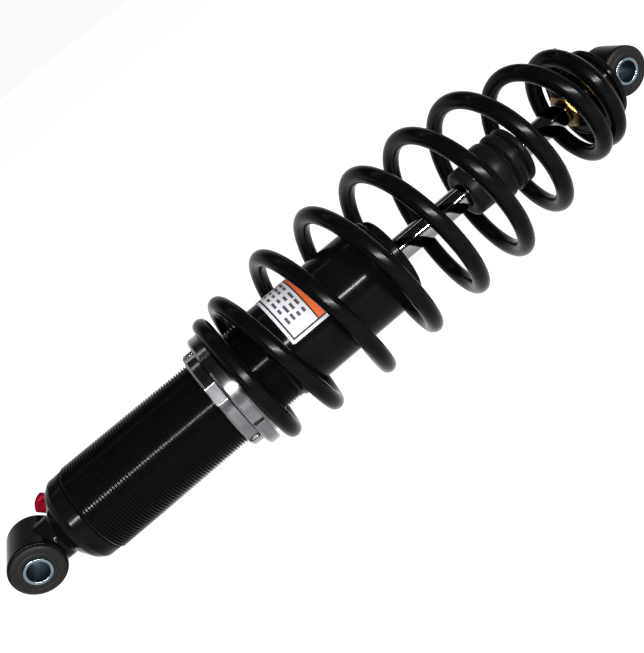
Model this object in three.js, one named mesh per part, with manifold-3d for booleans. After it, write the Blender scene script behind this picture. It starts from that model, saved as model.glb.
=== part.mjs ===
// Coil-over rear shock. Millimetres. +X runs along the shock from the body eye to the rod eye,
// Y is the axis of the two eye bolts, +Z is up. The origin is the centre of the body eye.
import * as THREE from 'three';
import { mergeVertices } from 'three/addons/utils/BufferGeometryUtils.js';
import Module from 'manifold-3d';

const wasm = await Module();
wasm.setup();

// ---------------------------------------------------------------- driving dimensions
const EYE_TO_EYE = 364.3;      // centre to centre, fully extended
const FIT = 0.3;               // clearance between pieces that touch
const ROD_R = 6.35;            // 12.7 mm chromed rod
const BORE_R = 19.0;           // damper bore
const THREAD_R = 23.25;        // major radius of the body thread
const TUBE_R = 24.4;           // plain part of the damper tube
const TUBE_X0 = 32.0;          // thread starts at the end cap
const THREAD_X1 = 141.5;       // thread ends
const TUBE_X1 = 213.4;         // mouth of the tube
const HEAD_X1 = 218.0;         // outer face of the seal head cap
const NUT_X0 = 330.6;          // jam nut on the rod

// eyes: [centre x, eye radius, half width of the eye, of the rubber, of the sleeve]
const LOWER_EYE = { x: 0, r: 13.3, body: 13.2, rubber: 14.6, sleeve: 15.4 };
const UPPER_EYE = { x: EYE_TO_EYE, r: 12.4, body: 9.2, rubber: 10.6, sleeve: 11.4 };
const EYE_BORE_R = 10.3;
const LIP_R = 12.2;            // rubber lip on each side of an eye
const SLEEVE_R = 6.6;
const BOLT_R = 5.1;            // M10 bolt hole

// spring rings: inner radius clears the thread
const RING_BORE_R = THREAD_R + FIT;
const LOCK_RING = { x0: 108.0, x1: 113.9, r: 27.1, floor: 25.5, first: 147.6 };
const PRELOAD_RING = { x0: 114.5, x1: 120.3, r: 31.6, floor: 29.4, first: 123.1 };
const NOTCH_WIDTH = 9.5;       // spanner notches, six on each ring
const SPRING_HUB = { x1: 123.6, r: 27.6 };

// coil spring: stations [winding angle deg, x], [x, radius of the wire centre]
const WIRE_R = 4.2;
const SPRING_START_DEG = 143.1;  // place of winding angle 0, from +Y towards +Z
const SPRING_FROM_DEG = 170;   // the winding starts here, ground to half its thickness
const SPRING_END_DEG = 3520;
const SPRING_X0 = 120.6;       // ground flat on the preload ring
const SPRING_X1 = 350.0;
const SPRING_RISE = [
  [0, 116.9], [90, 118.0], [180, 120.8], [281, 124.4], [371, 125.8], [461, 127.1], [551, 130.8],
  [641, 136.5], [1001, 166.0], [1361, 195.9], [1721, 225.8], [2081, 255.2], [2441, 284.0],
  [2801, 315.2], [2891, 325.8], [2981, 332.3], [3071, 335.0], [3161, 337.0], [3251, 339.2],
  [3341, 341.9], [3431, 344.9], [3521, 347.0]];
const SPRING_RADIUS = [
  [116, 32.15], [126, 32.3], [136.4, 35.2], [151, 36.2], [166, 38.6], [178, 39.6], [250, 40.0],
  [287, 38.9], [302, 33.5], [316, 32.2], [332, 26.8], [338, 26.6], [342, 25.2], [350, 23.2]];
const SPRING_LEAN = 1.15;      // open coils: nearer the rod eye on the -Y side by this much
const OPEN_COILS = { from: 551, to: 2981, fade: 360 };  // winding angles, deg
const SPRING_BOW = { size: 1.7, x0: 124, x1: 342, around: 64.6 };  // sideways bend of the coils

// spring retainer: cup, web under the shoulder of the rod eye, flange
const SEAT = { x0: 336.4, web0: 338.2, web1: 341.7, x1: 353.2, pilot: 18.0, flange: 20.4 };

// gas valve on the shoulder of the end cap
const VALVE_AT = { x: 18.2, r: 14.9, around: 36, lean: 45 };  // deg
const VALVE_CAP_AF = 9.2;

// label: a thin band round the plain part of the tube
const LABEL = { x0: 151.4, x1: 174.6, r0: TUBE_R + 0.25, r1: TUBE_R + 0.55, from: 12, to: 160 };

// ---------------------------------------------------------------- solids
const rad = (deg) => deg * Math.PI / 180;

/** Weld a geometry and turn it so its faces point out. */
function solid(geometry) {
  for (const key of Object.keys(geometry.attributes)) {
    if (key !== 'position') geometry.deleteAttribute(key);
  }
  const welded = mergeVertices(geometry, 1e-4);
  const p = welded.attributes.position;
  const index = Array.from(welded.index.array);
  const kept = [];
  let volume = 0;
  const a = new THREE.Vector3(), b = new THREE.Vector3(), c = new THREE.Vector3();
  for (let i = 0; i < index.length; i += 3) {
    const [u, v, w] = index.slice(i, i + 3);
    if (u === v || v === w || w === u) continue;
    kept.push(u, v, w);
    a.fromBufferAttribute(p, u); b.fromBufferAttribute(p, v); c.fromBufferAttribute(p, w);
    volume += a.dot(b.cross(c));
  }
  if (volume < 0) for (let i = 0; i < kept.length; i += 3) [kept[i], kept[i + 1]] = [kept[i + 1], kept[i]];
  welded.setIndex(kept);
  return welded;
}

/** A turned piece: closed profile of [x, radius] spun about the X axis. */
function turned(profile, segments = 24) {
  const points = profile.map(([x, r]) => new THREE.Vector2(Math.max(r, 0), x));
  if (profile.every(([, r]) => r > 0)) points.push(points[0].clone());
  return solid(new THREE.LatheGeometry(points, segments).rotateZ(-Math.PI / 2));
}

/** A plain ring or sleeve along X. */
const ring = (x0, x1, r0, r1, segments = 24) =>
  turned([[x0, r0], [x0, r1], [x1, r1], [x1, r0]], segments);

/** A solid bar along X. */
const bar = (x0, x1, r, segments = 24) => turned([[x0, 0], [x0, r], [x1, r], [x1, 0]], segments);

/** A ring whose outer edges are chamfered. */
const chamferedRing = (x0, x1, r0, r1, c, segments = 24) =>
  turned([[x0, r0], [x0, r1 - c], [x0 + c, r1], [x1 - c, r1], [x1, r1 - c], [x1, r0]], segments);

/** An o-ring along X: section radius s round a circle of radius r. */
function oRing(x, r, s, segments = 20) {
  const profile = [];
  for (let i = 0; i < 6; i++) profile.push([x + s * Math.cos(rad(60 * i)), r + s * Math.sin(rad(60 * i))]);
  return turned(profile, segments);
}

/** A hexagon bar along X, with a hole when hole > 0. */
function hexagon(x0, x1, acrossFlats, hole) {
  const shape = new THREE.Shape();
  for (let i = 0; i < 6; i++) {
    const r = acrossFlats / Math.sqrt(3), t = rad(60 * i);
    if (i) shape.lineTo(r * Math.cos(t), r * Math.sin(t)); else shape.moveTo(r, 0);
  }
  if (hole > 0) shape.holes.push(new THREE.Path().absarc(0, 0, hole, 0, 2 * Math.PI, true));
  const g = new THREE.ExtrudeGeometry(shape, { depth: x1 - x0, bevelEnabled: false, curveSegments: 20 });
  return solid(g.rotateY(Math.PI / 2).translate(x0, 0, 0));
}

const toManifold = (g) => new wasm.Manifold(new wasm.Mesh({
  numProp: 3, vertProperties: new Float32Array(g.attributes.position.array),
  triVerts: new Uint32Array(g.index.array) }));

function fromManifold(m) {
  const mesh = m.getMesh();
  const g = new THREE.BufferGeometry();
  g.setAttribute('position', new THREE.BufferAttribute(new Float32Array(mesh.vertProperties), 3));
  g.setIndex(new THREE.BufferAttribute(new Uint32Array(mesh.triVerts), 1));
  return solid(g);
}

function join(...solids) {
  let m = toManifold(solids[0]);
  for (const s of solids.slice(1)) m = m.add(toManifold(s));
  return fromManifold(m);
}

function cut(base, ...tools) {
  let m = toManifold(base);
  for (const t of tools) m = m.subtract(toManifold(t));
  return fromManifold(m);
}

/** Move a piece made along X to lie along Y through (x, 0, 0). */
const acrossAt = (g, x) => g.rotateZ(Math.PI / 2).translate(x, 0, 0);

/** Linear interpolation through stations [key, value]. */
function along(stations, key) {
  let i = 0;
  while (i < stations.length - 2 && key > stations[i + 1][0]) i++;
  const [k0, v0] = stations[i], [k1, v1] = stations[i + 1];
  return v0 + (v1 - v0) * (key - k0) / (k1 - k0);
}

// ---------------------------------------------------------------- eyes and bushings
function eyeBarrel(eye) {
  return acrossAt(chamferedBar(-eye.body, eye.body, eye.r, 1.0, 24), eye.x);
}

function chamferedBar(x0, x1, r, c, segments) {
  return turned([[x0, 0], [x0, r - c], [x0 + c, r], [x1 - c, r], [x1, r - c], [x1, 0]], segments);
}

const eyeBore = (eye) => acrossAt(bar(-eye.body - 5, eye.body + 5, EYE_BORE_R, 22), eye.x);

function bushing(eye) {
  const w = eye.body + FIT, r0 = SLEEVE_R + FIT, r1 = EYE_BORE_R - FIT;
  return acrossAt(turned([
    [-eye.rubber, r0], [-eye.rubber, LIP_R - 0.8], [-eye.rubber + 0.7, LIP_R], [-w, LIP_R], [-w, r1],
    [w, r1], [w, LIP_R], [eye.rubber - 0.7, LIP_R], [eye.rubber, LIP_R - 0.8], [eye.rubber, r0]], 22), eye.x);
}

const sleeve = (eye) => acrossAt(chamferedRing(-eye.sleeve, eye.sleeve, BOLT_R, SLEEVE_R, 0.5, 22), eye.x);

// ---------------------------------------------------------------- body side
/** Lay a piece made along X onto the leaning axis of the gas valve. */
function ontoValve(g) {
  const w = rad(VALVE_AT.around), lean = rad(VALVE_AT.lean);
  const axis = new THREE.Vector3(-Math.cos(lean), Math.sin(lean) * Math.cos(w), Math.sin(lean) * Math.sin(w));
  g.applyQuaternion(new THREE.Quaternion().setFromUnitVectors(new THREE.Vector3(1, 0, 0), axis));
  return g.translate(VALVE_AT.x, VALVE_AT.r * Math.cos(w), VALVE_AT.r * Math.sin(w));
}

function endCap() {
  const cap = turned([
    [6, 0], [6, 11], [16.0, 11.2], [18.4, 15.2], [20.9, 18.9], [23.2, 21.0], [25.2, 22.1], [27.0, 22.6],
    [TUBE_X0 - FIT, 22.6], [TUBE_X0 - FIT, BORE_R - FIT], [35.4, BORE_R - FIT], [35.4, 16.6],
    [38.8, 16.6], [38.8, BORE_R - FIT], [43, BORE_R - FIT], [44, BORE_R - 1.3], [44, 0]], 30);
  return cut(join(cap, eyeBarrel(LOWER_EYE)), eyeBore(LOWER_EYE), ontoValve(bar(-9, 20, 3.2, 20)));
}

const fillValve = () => ontoValve(turned([
  [-8, 0], [-8, 2.6], [7.4, 2.6], [8.2, 1.8], [8.4, 0]], 20));
const valveCap = () => ontoValve(hexagon(1.2, 7.4, VALVE_CAP_AF, 2.6 + FIT));

function damperTube() {
  return turned([
    [TUBE_X0, BORE_R], [TUBE_X0, THREAD_R - 0.9], [TUBE_X0 + 0.9, THREAD_R], [THREAD_X1, THREAD_R],
    [THREAD_X1 + 1.1, TUBE_R], [TUBE_X1 - 1.6, TUBE_R], [TUBE_X1, TUBE_R - 1.6], [TUBE_X1, BORE_R],
    [208.9, BORE_R], [208.9, BORE_R + 1.3], [206.3, BORE_R + 1.3], [206.3, BORE_R]], 30);
}

function label() {
  const { x0, x1, r0, r1, from, to } = LABEL;
  const shape = new THREE.Shape();
  const n = 20;
  for (let i = 0; i <= n; i++) {
    const t = rad(from + (to - from) * i / n);
    if (i) shape.lineTo(r1 * Math.cos(t), r1 * Math.sin(t)); else shape.moveTo(r1 * Math.cos(t), r1 * Math.sin(t));
  }
  for (let i = n; i >= 0; i--) {
    const t = rad(from + (to - from) * i / n);
    shape.lineTo(r0 * Math.cos(t), r0 * Math.sin(t));
  }
  const g = new THREE.ExtrudeGeometry(shape, { depth: x1 - x0, bevelEnabled: false });
  // shape x, y become Y, Z; depth becomes X
  const m = new THREE.Matrix4().set(0, 0, 1, x0, 1, 0, 0, 0, 0, 1, 0, 0, 0, 0, 0, 1);
  return solid(g.applyMatrix4(m));
}

// ---------------------------------------------------------------- seal head and gas piston
const sealHead = () => turned([
  [194, 8.6], [194, BORE_R - FIT], [198, BORE_R - FIT], [198, 16.9], [201, 16.9], [201, BORE_R - FIT],
  [206, BORE_R - FIT], [206, 10.3], [203.3, 10.3], [203.3, 8.6]], 24);
const sealHeadCap = () => turned([
  [209.2, 6.9], [209.2, BORE_R - FIT], [TUBE_X1 + FIT, BORE_R - FIT], [TUBE_X1 + FIT, 21.4],
  [HEAD_X1 - 1.6, 21.4], [HEAD_X1 - 0.5, 20.9], [HEAD_X1, 19.8], [HEAD_X1, 10.3], [213.4, 10.3],
  [213.4, 6.9]], 28);
const wiperSeal = () => turned([
  [213.7, ROD_R + FIT], [213.7, 10.0], [HEAD_X1 + 0.2, 10.0], [HEAD_X1 + 1.6, 7.4],
  [HEAD_X1 + 1.6, ROD_R + FIT]], 22);

function floatingPiston() {
  return turned([
    [60, 0], [60, BORE_R - FIT], [61.9, BORE_R - FIT], [61.9, 16.6], [64.7, 16.6], [64.7, BORE_R - FIT],
    [67.0, BORE_R - FIT], [67.0, 16.9], [70.2, 16.9], [70.2, BORE_R - FIT], [72, BORE_R - FIT],
    [72, 12.5], [64.5, 12.5], [64.5, 0]], 24);
}

// ---------------------------------------------------------------- spring and its rings
/** Six spanner notches cut from a ring blank; first is the angle of one notch. */
function notched(blank, { x0, x1, floor, first }) {
  const tools = [];
  for (let i = 0; i < 6; i++) {
    const t = rad(first + 60 * i);
    const g = new THREE.BoxGeometry(x1 - x0 + 4, 10, NOTCH_WIDTH);
    g.translate((x0 + x1) / 2, floor + 5, 0).rotateX(t);
    tools.push(solid(g));
  }
  return cut(blank, ...tools);
}

const lockRing = () => notched(
  chamferedRing(LOCK_RING.x0, LOCK_RING.x1, RING_BORE_R, LOCK_RING.r, 0.9, 28), LOCK_RING);

function preloadRing() {
  const { x0, x1, r } = PRELOAD_RING;
  const blank = turned([
    [x0, RING_BORE_R], [x0, r - 0.9], [x0 + 0.9, r], [x1 - 0.9, r], [x1, r - 0.9],
    [x1, SPRING_HUB.r], [SPRING_HUB.x1 - 0.8, SPRING_HUB.r], [SPRING_HUB.x1, SPRING_HUB.r - 0.8],
    [SPRING_HUB.x1, RING_BORE_R]], 28);
  return notched(blank, PRELOAD_RING);
}

/** Round wire swept along the winding; both ends ground flat where they pass the seats. */
function coilSpring() {
  const stepsPerTurn = 15, sides = 7;
  const winding = SPRING_END_DEG - SPRING_FROM_DEG, n = Math.round(winding / 360 * stepsPerTurn);
  const unit = (v) => Math.min(1, Math.max(0, v));
  const centre = (deg) => {
    const x = along(SPRING_RISE, deg), r = along(SPRING_RADIUS, x), w = rad(SPRING_START_DEG + deg);
    const { from, to, fade } = OPEN_COILS, { size, x0, x1, around } = SPRING_BOW;
    const lean = SPRING_LEAN * unit((deg - from) / fade) * unit((to - deg) / fade);
    const bow = size * Math.sin(Math.PI * unit((x - x0) / (x1 - x0)));
    return new THREE.Vector3(x - lean * Math.cos(w), r * Math.cos(w) + bow * Math.cos(rad(around)),
      r * Math.sin(w) + bow * Math.sin(rad(around)));
  };
  const positions = [], index = [];
  for (let i = 0; i <= n; i++) {
    const deg = SPRING_FROM_DEG + winding * i / n, w = rad(SPRING_START_DEG + deg);
    const p = centre(deg), out = new THREE.Vector3(0, Math.cos(w), Math.sin(w));
    const run = centre(deg + 1).sub(centre(deg - 1)).normalize();
    const side = new THREE.Vector3().crossVectors(run, out).normalize();
    const up = new THREE.Vector3().crossVectors(side, run);
    for (let k = 0; k < sides; k++) {
      const t = rad(360 * k / sides);
      const q = p.clone().addScaledVector(up, WIRE_R * Math.cos(t)).addScaledVector(side, WIRE_R * Math.sin(t));
      positions.push(q.x, q.y, q.z);
    }
  }
  for (let i = 0; i < n; i++) for (let k = 0; k < sides; k++) {
    const a = i * sides + k, b = i * sides + (k + 1) % sides;
    index.push(a, b, b + sides, a, b + sides, a + sides);
  }
  for (let k = 1; k < sides - 1; k++) {
    index.push(0, k + 1, k);
    index.push(n * sides, n * sides + k, n * sides + k + 1);
  }
  const g = new THREE.BufferGeometry();
  g.setAttribute('position', new THREE.Float32BufferAttribute(positions, 3));
  g.setIndex(index);
  const below = bar(SPRING_X0 - 40, SPRING_X0, 60, 12), above = bar(SPRING_X1, SPRING_X1 + 40, 60, 12);
  return cut(solid(g), below, above);
}

// ---------------------------------------------------------------- shaft side
const pistonRod = () => turned([
  [158.6, 0], [158.6, 3.4], [159.2, 4.0], [186, 4.0], [186, ROD_R - 0.4], [186.4, ROD_R], [329.7, ROD_R],
  [330.3, 5.0], [344.6, 5.0], [344.6, 0]], 22);
const stackRing = (x0, x1, r) => ring(x0, x1, 4.0 + FIT, r, 24);

function piston() {
  const ports = [];
  const body = turned([
    [169.1, 4.3], [169.1, BORE_R - 0.6], [171.9, BORE_R - 0.6], [171.9, 17.0], [178.3, 17.0],
    [178.3, BORE_R - 0.6], [181.1, BORE_R - 0.6], [181.1, 4.3]], 24);
  for (let i = 0; i < 6; i++) {
    ports.push(bar(160, 190, 1.9, 10).translate(0, 10.6 * Math.cos(rad(60 * i)), 10.6 * Math.sin(rad(60 * i))));
  }
  return cut(body, ...ports);
}

/** Clamped stack of thin washers, largest against the piston. */
const shimStack = (x0, x1, big, small) => turned([
  [x0, 4.3], [x0, big], [x0 + (x1 - x0) / 3, big], [x0 + (x1 - x0) / 3, (big + small) / 2],
  [x0 + (x1 - x0) * 2 / 3, (big + small) / 2], [x0 + (x1 - x0) * 2 / 3, small], [x1, small], [x1, 4.3]], 24);

function bumpStop() {
  const r0 = ROD_R + FIT;
  return turned([
    [264, r0], [264, 11.4], [265, 12.4], [275.6, 12.8], [276.8, 14.8], [278.8, 16.0], [283.6, 16.2],
    [285.6, 15.4], [286.8, 13.4], [288.0, 15.2], [289.6, 16.0], [291.6, 15.9], [293.0, 14.8], [293.9, 13.0],
    [294.9, 14.6], [296.2, 15.4], [297.5, 15.0], [298.2, 13.6], [298.2, r0]], 22);
}

function jamNut() {
  const blank = toManifold(hexagon(NUT_X0, NUT_X0 + 6.7, 17, 0));
  const dome = toManifold(turned([
    [NUT_X0, 0], [NUT_X0, 8.4], [NUT_X0 + 1.0, 10], [NUT_X0 + 5.7, 10], [NUT_X0 + 6.7, 8.4],
    [NUT_X0 + 6.7, 0]], 24));
  const hole = toManifold(bar(NUT_X0 - 5, NUT_X0 + 15, 5.3, 24));
  return fromManifold(blank.intersect(dome).subtract(hole));
}

/** Cup on the rod eye: a pilot inside the last coils and a flange behind them. */
function springRetainer() {
  const { x0, web0, web1, x1, pilot, flange } = SEAT, face = SPRING_X1 + FIT;
  return turned([
    [web0, 9.3], [web0, 12.5], [x0, 12.5], [x0, pilot - 1.4], [x0 + 1.4, pilot], [face, pilot],
    [face, flange], [x1, flange], [x1, 14.9], [web1, 14.9], [web1, 9.3]], 24);
}

function upperEye() {
  const shank = turned([
    [337.6, 0], [337.6, 8.4], [338.2, 9.0], [342.0, 9.0], [342.0, 13.4], [342.6, 14.0], [347.4, 14.0],
    [348.4, 13.0], [348.4, 0]], 24);
  const neck = solid(new THREE.BoxGeometry(18, 2 * UPPER_EYE.body - 0.6, 20).translate(355, 0, 0));
  return cut(join(shank, neck, eyeBarrel(UPPER_EYE)), eyeBore(UPPER_EYE), bar(330, 345.6, 5.3, 24));
}

/** Reflect a piece along X. */
function mirrored(g) {
  return solid(g.scale(-1, 1, 1));
}

// ---------------------------------------------------------------- assembly
const LOOKS = {
  black: { color: 0x15161a, roughness: 0.28, metalness: 0.4 },
  thread: { color: 0x202124, roughness: 0.35, metalness: 0.6 },
  powder: { color: 0x101012, roughness: 0.25, metalness: 0.1 },
  rubber: { color: 0x17171a, roughness: 0.75, metalness: 0.0 },
  alloy: { color: 0xb9bcbf, roughness: 0.3, metalness: 1.0 },
  steel: { color: 0x9aa3ac, roughness: 0.3, metalness: 1.0 },
  chrome: { color: 0xd5d8dc, roughness: 0.05, metalness: 1.0 },
  red: { color: 0xc0152f, roughness: 0.3, metalness: 0.8 },
  zinc: { color: 0xc89a3c, roughness: 0.4, metalness: 1.0 },
  bronze: { color: 0x9c7a4a, roughness: 0.4, metalness: 0.9 },
  seal: { color: 0x2a3a66, roughness: 0.6, metalness: 0.0 },
  paper: { color: 0xe9e9ec, roughness: 0.5, metalness: 0.0 },
};

const PIECES = [
  ['end_cap', endCap, 'black'],
  ['end_cap_o_ring', () => oRing(37.1, 17.8, 0.9), 'rubber'],
  ['lower_bushing', () => bushing(LOWER_EYE), 'rubber'],
  ['lower_sleeve', () => sleeve(LOWER_EYE), 'steel'],
  ['damper_tube', damperTube, 'thread'],
  ['fill_valve', fillValve, 'rubber'],
  ['valve_cap', valveCap, 'red'],
  ['label', label, 'paper'],
  ['floating_piston', floatingPiston, 'alloy'],
  ['floating_piston_o_ring', () => oRing(63.3, 17.8, 0.9), 'rubber'],
  ['floating_piston_band', () => ring(67.3, 69.9, 17.2, 18.8, 22), 'seal'],
  ['seal_head', sealHead, 'alloy'],
  ['seal_head_o_ring', () => oRing(199.5, 17.95, 0.75), 'rubber'],
  ['guide_bush', () => ring(194.6, 203.0, ROD_R + FIT, 8.3, 22), 'bronze'],
  ['rod_seal', () => ring(203.6, 208.9, ROD_R + FIT, 10.0, 22), 'seal'],
  ['retaining_ring', () => ring(206.6, 208.6, 17.2, 20.0, 22), 'steel'],
  ['seal_head_cap', sealHeadCap, 'black'],
  ['wiper_seal', wiperSeal, 'rubber'],
  ['lock_ring', lockRing, 'alloy'],
  ['preload_ring', preloadRing, 'alloy'],
  ['coil_spring', coilSpring, 'powder'],
  ['piston_rod', pistonRod, 'chrome'],
  ['piston_nut', () => hexagon(160.4, 166.6, 13, 4.3), 'steel'],
  ['compression_shims', () => mirrored(shimStack(-168.8, -167.0, 12.8, 8.8)), 'steel'],
  ['piston', piston, 'alloy'],
  ['piston_band', () => ring(172.2, 178.0, 17.3, 18.8, 22), 'seal'],
  ['rebound_shims', () => shimStack(181.4, 183.2, 12.8, 8.8), 'steel'],
  ['backing_washer', () => stackRing(183.5, 185.7, 8.6), 'steel'],
  ['top_out_bumper', () => ring(187.2, 192.4, ROD_R + FIT, 11.0, 22), 'rubber'],
  ['bump_stop', bumpStop, 'rubber'],
  ['jam_nut', jamNut, 'zinc'],
  ['spring_retainer', springRetainer, 'black'],
  ['upper_eye', upperEye, 'black'],
  ['upper_bushing', () => bushing(UPPER_EYE), 'rubber'],
  ['upper_sleeve', () => sleeve(UPPER_EYE), 'steel'],
];

const shock = new THREE.Group();
shock.name = 'rear_shock';
for (const [name, make, look] of PIECES) {
  const mesh = new THREE.Mesh(make(), new THREE.MeshStandardMaterial(LOOKS[look]));
  mesh.name = name;
  shock.add(mesh);
}
export default shock;
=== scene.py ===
import math
from functools import partial
import bpy
import bmesh
import numpy as np
from mathutils import Matrix, Vector

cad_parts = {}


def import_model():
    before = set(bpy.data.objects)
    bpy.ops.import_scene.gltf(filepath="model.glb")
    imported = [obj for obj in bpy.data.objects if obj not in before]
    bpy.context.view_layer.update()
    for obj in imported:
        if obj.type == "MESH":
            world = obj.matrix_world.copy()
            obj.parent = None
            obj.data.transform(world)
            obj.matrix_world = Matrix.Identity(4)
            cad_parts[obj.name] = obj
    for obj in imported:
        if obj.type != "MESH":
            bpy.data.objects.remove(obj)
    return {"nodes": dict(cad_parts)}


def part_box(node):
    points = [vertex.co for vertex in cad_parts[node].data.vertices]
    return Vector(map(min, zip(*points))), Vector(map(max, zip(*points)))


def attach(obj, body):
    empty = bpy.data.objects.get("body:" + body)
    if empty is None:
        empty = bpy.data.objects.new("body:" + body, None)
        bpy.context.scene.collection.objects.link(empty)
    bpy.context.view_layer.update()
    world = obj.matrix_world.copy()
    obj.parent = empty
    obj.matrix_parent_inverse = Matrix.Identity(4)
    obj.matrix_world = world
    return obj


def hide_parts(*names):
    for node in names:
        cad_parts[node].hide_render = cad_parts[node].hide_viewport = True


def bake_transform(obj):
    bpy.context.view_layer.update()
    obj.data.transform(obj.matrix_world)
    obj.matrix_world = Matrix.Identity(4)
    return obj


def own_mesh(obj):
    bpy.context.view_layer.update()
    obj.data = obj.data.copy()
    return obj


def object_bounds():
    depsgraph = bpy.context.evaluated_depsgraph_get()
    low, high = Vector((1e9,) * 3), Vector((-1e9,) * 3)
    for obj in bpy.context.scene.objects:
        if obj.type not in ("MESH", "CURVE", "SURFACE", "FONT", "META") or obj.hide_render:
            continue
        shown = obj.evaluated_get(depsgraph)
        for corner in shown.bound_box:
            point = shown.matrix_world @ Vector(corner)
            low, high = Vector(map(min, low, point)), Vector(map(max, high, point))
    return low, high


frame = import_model()
CAD_BOX = [list(map(float, corner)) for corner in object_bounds()]
MM = 0.001

# ------------------------------------------------------------------ places read from the frame
TUBE_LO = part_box("damper_tube")[0]
SPRING_LO, SPRING_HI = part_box("coil_spring")
NUT_LO, NUT_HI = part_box("jam_nut")
UP_LO, UP_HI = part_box("upper_sleeve")
EYE_X = (UP_LO[0] + UP_HI[0]) / 2 / MM

# ------------------------------------------------------------------ sizes, millimetres, as in the CAD
ROD_R, THREAD_R, TUBE_R, BORE_R = 6.35, 23.25, 24.4, 19.0
THREAD_X1, PITCH, THREAD_DEPTH = 141.5, 1.5, 0.86
TUBE_X1 = 213.4
EYE_BORE_R = 10.3              # hole in each eye for its bushing
BODY_EYE_R, BODY_EYE_HALF = 13.3, 13.2
ROD_EYE_R, ROD_EYE_HALF = 12.4, 9.2
RUBBER_PAST_EYE, SLEEVE_PAST_EYE = 1.4, 2.2

# coil spring: wire radius, place of winding angle 0 from +Y towards +Z, first and last winding angle, degrees
WIRE_R = 4.2
SPRING_START = 143.1
SPRING_FROM, SPRING_END = 170.0, 3520.0
# (winding angle, x) and (x, radius of the wire's centre)
RISE = [(0, 116.9), (90, 118.0), (180, 120.8), (281, 124.4), (371, 125.8), (461, 127.1), (551, 130.8),
        (641, 136.5), (1001, 166.0), (1361, 195.9), (1721, 225.8), (2081, 255.2), (2441, 284.0),
        (2801, 315.2), (2891, 325.8), (2981, 332.3), (3071, 335.0), (3161, 337.0), (3251, 339.2),
        (3341, 341.9), (3431, 344.9), (3521, 347.0)]
RADIUS = [(116, 32.15), (126, 32.3), (136.4, 35.2), (151, 36.2), (166, 38.6), (178, 39.6), (250, 40.0),
          (287, 38.9), (302, 33.5), (316, 32.2), (332, 26.8), (338, 26.6), (342, 25.2), (350, 23.2)]
# open coils sit nearer the rod eye on their -Y side, between these winding angles
SPRING_LEAN = 1.15
OPEN_FROM, OPEN_TO, OPEN_FADE = 551, 2981, 360
# sideways bend of the whole spring: size, where it starts and ends, and towards which side
BOW, BOW_X0, BOW_X1, BOW_AROUND = 1.7, 124, 342, 64.6

NOTCHES, NOTCH_WIDTH = 6, 9.5
LOCK_X0, LOCK_X1, LOCK_R, LOCK_FLOOR_R, LOCK_NOTCH_AT = 108.0, 113.9, 27.1, 25.5, 147.6
PRELOAD_X0, PRELOAD_X1, PRELOAD_R, PRELOAD_FLOOR_R, PRELOAD_NOTCH_AT = 114.5, 120.3, 31.6, 29.4, 123.1
HUB_X1, HUB_R = 123.6, 27.6    # step that centres the spring on the preload ring

# gas valve on the shoulder of the end cap: lean away from the shock axis, and side it points to
VALVE_X, VALVE_R = 18.2, 14.9
VALVE_LEAN, VALVE_AROUND = math.radians(45), math.radians(36)
VALVE_AXIS = Vector((-math.cos(VALVE_LEAN), math.sin(VALVE_LEAN) * math.cos(VALVE_AROUND),
                     math.sin(VALVE_LEAN) * math.sin(VALVE_AROUND)))
VALVE_AT = Vector((VALVE_X, VALVE_R * math.cos(VALVE_AROUND), VALVE_R * math.sin(VALVE_AROUND))) * MM

# label: edges along the shock in mm, edges round the tube in degrees from +Y towards +Z
LABEL_X0, LABEL_X1, LABEL_FROM, LABEL_TO = 151.4, 174.6, 12.0, 160.0
LABEL_INSET, LABEL_LINE, LABEL_HEADER, LABEL_RULE = 1.5, 0.85, 4.0, 0.7


# ------------------------------------------------------------------ mesh helpers
def new_object(name, verts, faces, smooth=35):
    """Mesh object from metres; smooth is the angle for smooth shading, 0 for flat."""
    mesh = bpy.data.meshes.new(name)
    mesh.from_pydata([tuple(v) for v in verts], [], faces)
    mesh.update()
    obj = bpy.data.objects.new(name, mesh)
    bpy.context.scene.collection.objects.link(obj)
    clean(obj)
    if smooth:
        shade(obj, smooth)
    return obj


def clean(obj):
    bm = bmesh.new()
    bm.from_mesh(obj.data)
    bmesh.ops.remove_doubles(bm, verts=bm.verts, dist=1e-7)
    bmesh.ops.recalc_face_normals(bm, faces=bm.faces)
    bm.to_mesh(obj.data)
    bm.free()


def shade(obj, angle=35):
    for poly in obj.data.polygons:
        poly.use_smooth = True
    bm = bmesh.new()
    bm.from_mesh(obj.data)
    limit = math.radians(angle)
    for edge in bm.edges:
        edge.smooth = not (edge.is_manifold and edge.calc_face_angle(0) > limit)
    bm.to_mesh(obj.data)
    bm.free()


def apply_modifiers(obj):
    bpy.context.view_layer.update()
    depsgraph = bpy.context.evaluated_depsgraph_get()
    mesh = bpy.data.meshes.new_from_object(obj.evaluated_get(depsgraph))
    obj.modifiers.clear()
    old = obj.data
    obj.data = mesh
    mesh.name = obj.name
    bpy.data.meshes.remove(old)
    return obj


def bevel(obj, width, segments=2, angle=30, smooth=35):
    m = obj.modifiers.new("bevel", "BEVEL")
    m.width, m.segments, m.limit_method = width * MM, segments, "ANGLE"
    m.angle_limit = math.radians(angle)
    m.harden_normals = False
    apply_modifiers(obj)
    shade(obj, smooth)
    return obj


def boolean(obj, other, operation="DIFFERENCE"):
    m = obj.modifiers.new("boolean", "BOOLEAN")
    m.operation, m.object, m.solver = operation, other, "EXACT"
    apply_modifiers(obj)
    bpy.data.objects.remove(other)
    return obj


def block(name, xs, ys, zs):
    """Flat-sided block between two x, two y and two z, in mm."""
    corners = [(x * MM, y * MM, z * MM) for x in xs for y in ys for z in zs]
    sides = [(0, 1, 3, 2), (4, 6, 7, 5), (0, 4, 5, 1), (2, 3, 7, 6), (0, 2, 6, 4), (1, 5, 7, 3)]
    return new_object(name, corners, sides, 0)


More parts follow.
